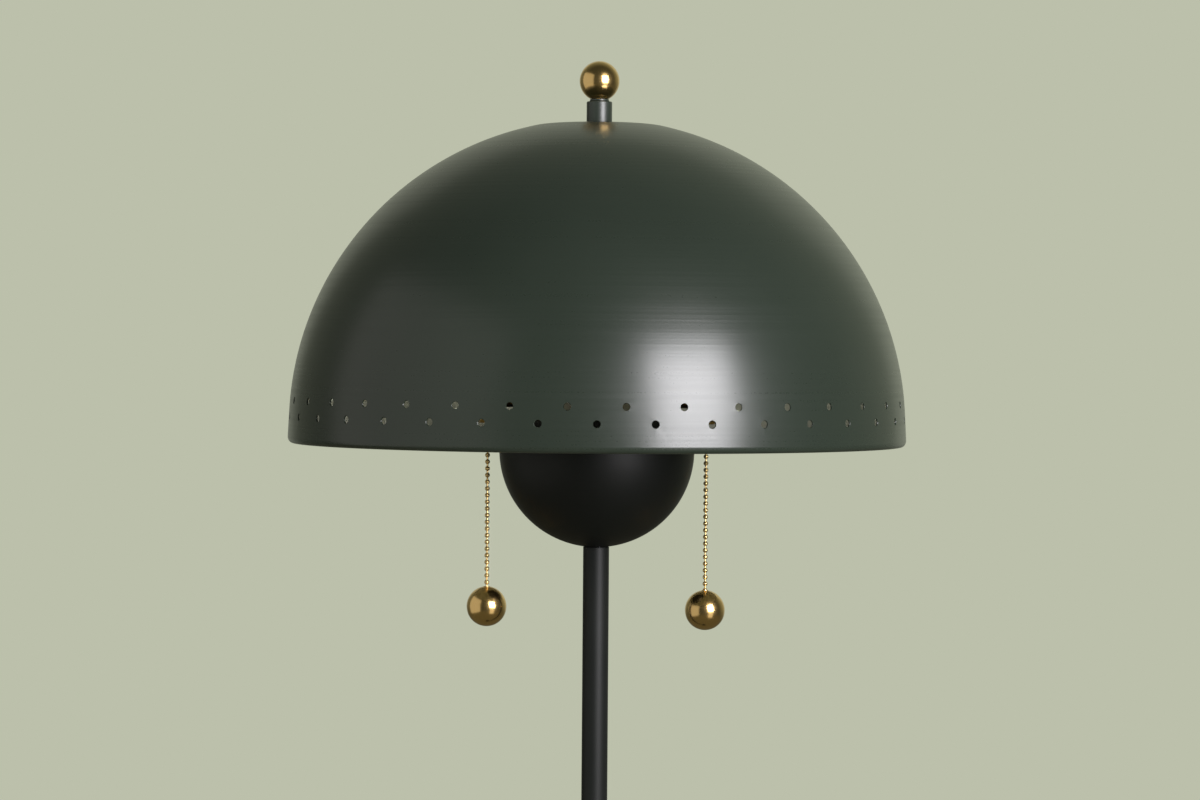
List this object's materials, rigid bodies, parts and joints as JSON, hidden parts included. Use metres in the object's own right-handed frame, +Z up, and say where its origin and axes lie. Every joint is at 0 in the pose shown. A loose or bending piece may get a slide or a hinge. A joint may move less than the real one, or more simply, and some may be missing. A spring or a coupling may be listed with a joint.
{
  "type": "floor lamp",
  "caption": "Floor lamp with a straight tube stem, a perforated dome shade over a bowl of lampholders, pull-chain switches with ball ends, and a weighted round base.",
  "frame": {"origin": "on the floor, under the middle of the base", "axes": "+Z up along the stem, front towards -Y, the two pull chains to -X and +X"},
  "size_m": [0.4, 0.4, 1.5484],
  "materials": {
    "green_black_powder_coat": "satin powder coat, very dark green-black outside; the inside of the shade is sprayed white",
    "black_powder_coat": "satin black powder coat on steel",
    "polished_brass": "turned and polished solid brass, clear lacquer",
    "chain_brass": "stamped brass ball chain",
    "raw_brass": "drawn and turned brass, unlacquered",
    "zinc_steel": "zinc-plated steel, dull",
    "spring_steel": "blued spring strip",
    "cast_weight": "sand-cast iron, painted grey",
    "foam_pad": "closed-cell foam ring",
    "white_phenolic": "moulded white thermoset",
    "black_nylon": "moulded black nylon",
    "opal_glass": "opal glass, satin inside",
    "bulb_cap_metal": "rolled aluminium screw cap",
    "pvc_lead": "extruded PVC insulation"
  },
  "bodies": {
    "lamp": {"base_pad": "foam_pad", "base_weight": "cast_weight", "base_cover": "black_powder_coat", "base_collar": "black_powder_coat", "cord_gland": "black_nylon", "base_washer": "zinc_steel", "base_nut": "zinc_steel", "base_nipple": "zinc_steel", "stem_lower": "black_powder_coat", "stem_middle": "black_powder_coat", "stem_upper": "black_powder_coat", "stem_nipple_1": "zinc_steel", "stem_nipple_2": "zinc_steel", "bowl": "black_powder_coat", "bowl_nipple": "zinc_steel", "bowl_washer": "zinc_steel", "bowl_nut": "zinc_steel", "crossbar": "zinc_steel", "crossbar_nut": "zinc_steel", "rod_coupler": "raw_brass", "shade_rod": "raw_brass", "stem_lead": "pvc_lead", "splice_cap": "white_phenolic", "shade_seat": "zinc_steel", "left_holder_cap": "white_phenolic", "left_holder_shell": "white_phenolic", "left_holder_core": "black_nylon", "left_screw_shell": "raw_brass", "left_contact": "raw_brass", "left_chain_guide": "raw_brass", "left_bulb_glass": "opal_glass", "left_bulb_cap": "bulb_cap_metal", "left_holder_lead": "pvc_lead", "right_holder_cap": "white_phenolic", "right_holder_shell": "white_phenolic", "right_holder_core": "black_nylon", "right_screw_shell": "raw_brass", "right_contact": "raw_brass", "right_chain_guide": "raw_brass", "right_bulb_glass": "opal_glass", "right_bulb_cap": "bulb_cap_metal", "right_holder_lead": "pvc_lead"},
    "shade": {"shade_dome": "green_black_powder_coat", "shade_collar": "green_black_powder_coat"},
    "finial": {"finial_neck": "black_powder_coat", "finial_ball": "polished_brass"},
    "left_switch": {"left_spool": "raw_brass", "left_spool_spring": "spring_steel"},
    "left_run": {"left_chain_run": "chain_brass"},
    "left_draw": {"left_chain_lead": "chain_brass"},
    "left_sway": {"left_chain_link": "chain_brass"},
    "left_pull": {"left_pull_chain": "chain_brass", "left_pull_ball": "polished_brass"},
    "right_switch": {"right_spool": "raw_brass", "right_spool_spring": "spring_steel"},
    "right_run": {"right_chain_run": "chain_brass"},
    "right_draw": {"right_chain_lead": "chain_brass"},
    "right_sway": {"right_chain_link": "chain_brass"},
    "right_pull": {"right_pull_chain": "chain_brass", "right_pull_ball": "polished_brass"}
  },
  "joints": [
    {"name": "shade_turn", "type": "hinge", "parent": "lamp", "child": "shade", "pos_m": [0, 0, 1.5065], "axis": [0, 0, 1], "continuous": true},
    {"name": "finial_turn", "type": "hinge", "parent": "lamp", "child": "finial", "pos_m": [0, 0, 1.5354], "axis": [0, 0, 1], "continuous": true},
    {"name": "left_pull", "type": "slide", "parent": "lamp", "child": "left_draw", "axis": [0, 0, -1], "range_m": [0, 0.009], "stiffness_N_per_m": 400, "springref_m": -0.008},
    {"name": "left_run_slide", "type": "slide", "parent": "lamp", "child": "left_run", "axis": [-1, 0, 0], "range_m": [0, 0.0095]},
    {"name": "left_spool_turn", "type": "hinge", "parent": "lamp", "child": "left_switch", "pos_m": [-0.032, 0, 1.32227], "axis": [0, -1, 0], "range_deg": [0, 95]},
    {"name": "left_sway_side", "type": "hinge", "parent": "left_draw", "child": "left_sway", "pos_m": [-0.071, 0, 1.314], "axis": [0, 1, 0], "range_deg": [-10, 45]},
    {"name": "left_sway_front", "type": "hinge", "parent": "left_sway", "child": "left_pull", "pos_m": [-0.071, 0, 1.314], "axis": [1, 0, 0], "range_deg": [-45, 45]},
    {"name": "right_pull", "type": "slide", "parent": "lamp", "child": "right_draw", "axis": [0, 0, -1], "range_m": [0, 0.009], "stiffness_N_per_m": 400, "springref_m": -0.008},
    {"name": "right_run_slide", "type": "slide", "parent": "lamp", "child": "right_run", "axis": [1, 0, 0], "range_m": [0, 0.0095]},
    {"name": "right_spool_turn", "type": "hinge", "parent": "lamp", "child": "right_switch", "pos_m": [0.032, 0, 1.32227], "axis": [0, 1, 0], "range_deg": [0, 95]},
    {"name": "right_sway_side", "type": "hinge", "parent": "right_draw", "child": "right_sway", "pos_m": [0.071, 0, 1.314], "axis": [0, -1, 0], "range_deg": [-10, 45]},
    {"name": "right_sway_front", "type": "hinge", "parent": "right_sway", "child": "right_pull", "pos_m": [0.071, 0, 1.314], "axis": [1, 0, 0], "range_deg": [-45, 45]}
  ],
  "couplings": [
    {"joint": "left_run_slide", "follows": "left_pull", "ratio": 1},
    {"joint": "left_spool_turn", "follows": "left_pull", "rad_per_m": 174.53},
    {"joint": "right_run_slide", "follows": "right_pull", "ratio": 1},
    {"joint": "right_spool_turn", "follows": "right_pull", "rad_per_m": 174.53}
  ]
}
